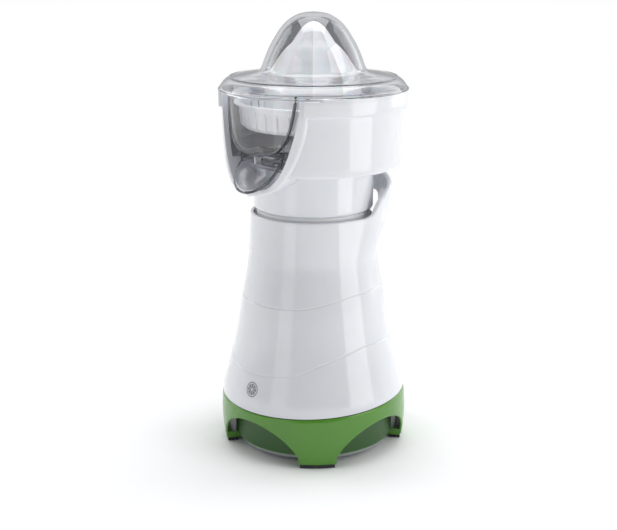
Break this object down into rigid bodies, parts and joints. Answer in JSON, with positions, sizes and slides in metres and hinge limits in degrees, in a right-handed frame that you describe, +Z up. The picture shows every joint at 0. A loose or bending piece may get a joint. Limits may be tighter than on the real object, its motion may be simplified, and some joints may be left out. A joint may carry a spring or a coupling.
{
  "type": "citrus press juicer",
  "caption": "Electric citrus press on a waisted motor base, with a clear lid, reaming cone, strainer, juice container and tipping spout.",
  "frame": {"origin": "on the spin axis, at the level of the table that the rubber feet stand on", "axes": "+Z up along the spin axis, -Y towards the spout, +X to the right of a person facing the back of the machine"},
  "size_m": [0.146, 0.1524, 0.3365],
  "materials": {
    "gloss_white": "moulded gloss white ABS",
    "green": "moulded satin green ABS",
    "white_part": "moulded white polypropylene",
    "grey_plastic": "moulded grey ABS",
    "black_plastic": "moulded black nylon",
    "red_plastic": "moulded red nylon",
    "nylon": "moulded natural nylon",
    "clear": "clear moulded SAN",
    "frosted": "frosted translucent polypropylene",
    "rubber": "moulded black rubber",
    "steel": "turned and plated steel",
    "zinc": "zinc plated sheet steel",
    "lamination": "stacked electrical steel",
    "copper": "enamelled copper",
    "bronze": "sintered bronze",
    "carbon": "pressed carbon"
  },
  "bodies": {
    "base": {"base_shell": "gloss_white", "skirt": "green", "bottom_plate": "grey_plastic", "rubber_feet": "rubber", "base_screws": "steel", "cord_gland": "rubber", "deck": "grey_plastic", "deck_seal": "rubber", "start_springs": "steel", "micro_switch": "black_plastic", "switch_screws": "steel", "lower_bracket": "zinc", "upper_bracket": "zinc", "lower_bearing": "bronze", "upper_bearing": "bronze", "field_core": "lamination", "field_coils": "copper", "brush_holders": "bronze", "carbon_brushes": "carbon", "motor_bolts": "steel", "motor_dampers": "rubber"},
    "rotor": {"motor_shaft": "steel", "armature": "lamination", "commutator": "copper", "fan": "black_plastic", "drive_coupling": "black_plastic"},
    "start_ring": {"start_ring": "white_part"},
    "switch_button": {"switch_button": "red_plastic"},
    "head": {"housing": "gloss_white", "gearbox_case": "gloss_white", "gearbox_cover": "grey_plastic", "gearbox_screws": "steel", "input_bearing": "bronze", "spindle_bush": "bronze", "idler_pins": "steel"},
    "input": {"input_coupling": "black_plastic", "input_pinion": "steel"},
    "idler_a": {"idler_a": "nylon"},
    "idler_b": {"idler_b": "nylon"},
    "spindle": {"spindle": "steel", "output_gear": "nylon"},
    "container": {"juice_container": "clear"},
    "spout": {"spout": "clear"},
    "strainer": {"strainer": "white_part"},
    "cone": {"cone": "frosted"},
    "lid": {"lid": "clear"}
  },
  "joints": [
    {"name": "cone_spin", "type": "hinge", "parent": "strainer", "child": "cone", "pos_m": [0, 0, 0.266], "axis": [0, 0, 1], "continuous": true},
    {"name": "start_press", "type": "slide", "parent": "base", "child": "start_ring", "axis": [0, 0, 1], "range_m": [-0.0025, 0], "stiffness_N_per_m": 2000, "springref_m": 0.01, "deforming": ["start_springs"]},
    {"name": "switch_press", "type": "slide", "parent": "base", "child": "switch_button", "axis": [0, 0, 1], "range_m": [-0.0025, 0]},
    {"name": "rotor_spin", "type": "hinge", "parent": "base", "child": "rotor", "pos_m": [0, 0, 0.1], "axis": [0, 0, 1], "continuous": true},
    {"name": "head_lift", "type": "slide", "parent": "start_ring", "child": "head", "axis": [0, 0, 1], "range_m": [0, 0.06]},
    {"name": "input_spin", "type": "hinge", "parent": "head", "child": "input", "pos_m": [0, 0, 0.19], "axis": [0, 0, 1], "continuous": true},
    {"name": "idler_a_spin", "type": "hinge", "parent": "head", "child": "idler_a", "pos_m": [-0.02009, 0.0116, 0.2], "axis": [0, 0, 1], "continuous": true},
    {"name": "idler_b_spin", "type": "hinge", "parent": "head", "child": "idler_b", "pos_m": [-0.02055, -0.0124, 0.2], "axis": [0, 0, 1], "continuous": true},
    {"name": "spindle_spin", "type": "hinge", "parent": "head", "child": "spindle", "pos_m": [0, 0, 0.21], "axis": [0, 0, 1], "continuous": true},
    {"name": "container_lift", "type": "slide", "parent": "head", "child": "container", "axis": [0, 0, 1], "range_m": [0, 0.08]},
    {"name": "spout_tip", "type": "hinge", "parent": "container", "child": "spout", "pos_m": [0, -0.051, 0.2315], "axis": [-1, 0, 0], "range_deg": [0, 30]},
    {"name": "strainer_lift", "type": "slide", "parent": "container", "child": "strainer", "axis": [0, 0, 1], "range_m": [0, 0.045]},
    {"name": "lid_lift", "type": "slide", "parent": "strainer", "child": "lid", "axis": [0, 0, 1], "range_m": [0, 0.06]}
  ],
  "couplings": [
    {"joint": "switch_press", "follows": "start_press", "ratio": 1},
    {"joint": "spindle_spin", "follows": "cone_spin", "ratio": 1},
    {"joint": "idler_b_spin", "follows": "cone_spin", "ratio": -4},
    {"joint": "idler_a_spin", "follows": "cone_spin", "ratio": 12},
    {"joint": "input_spin", "follows": "cone_spin", "ratio": -57.6},
    {"joint": "rotor_spin", "follows": "cone_spin", "ratio": -57.6}
  ]
}
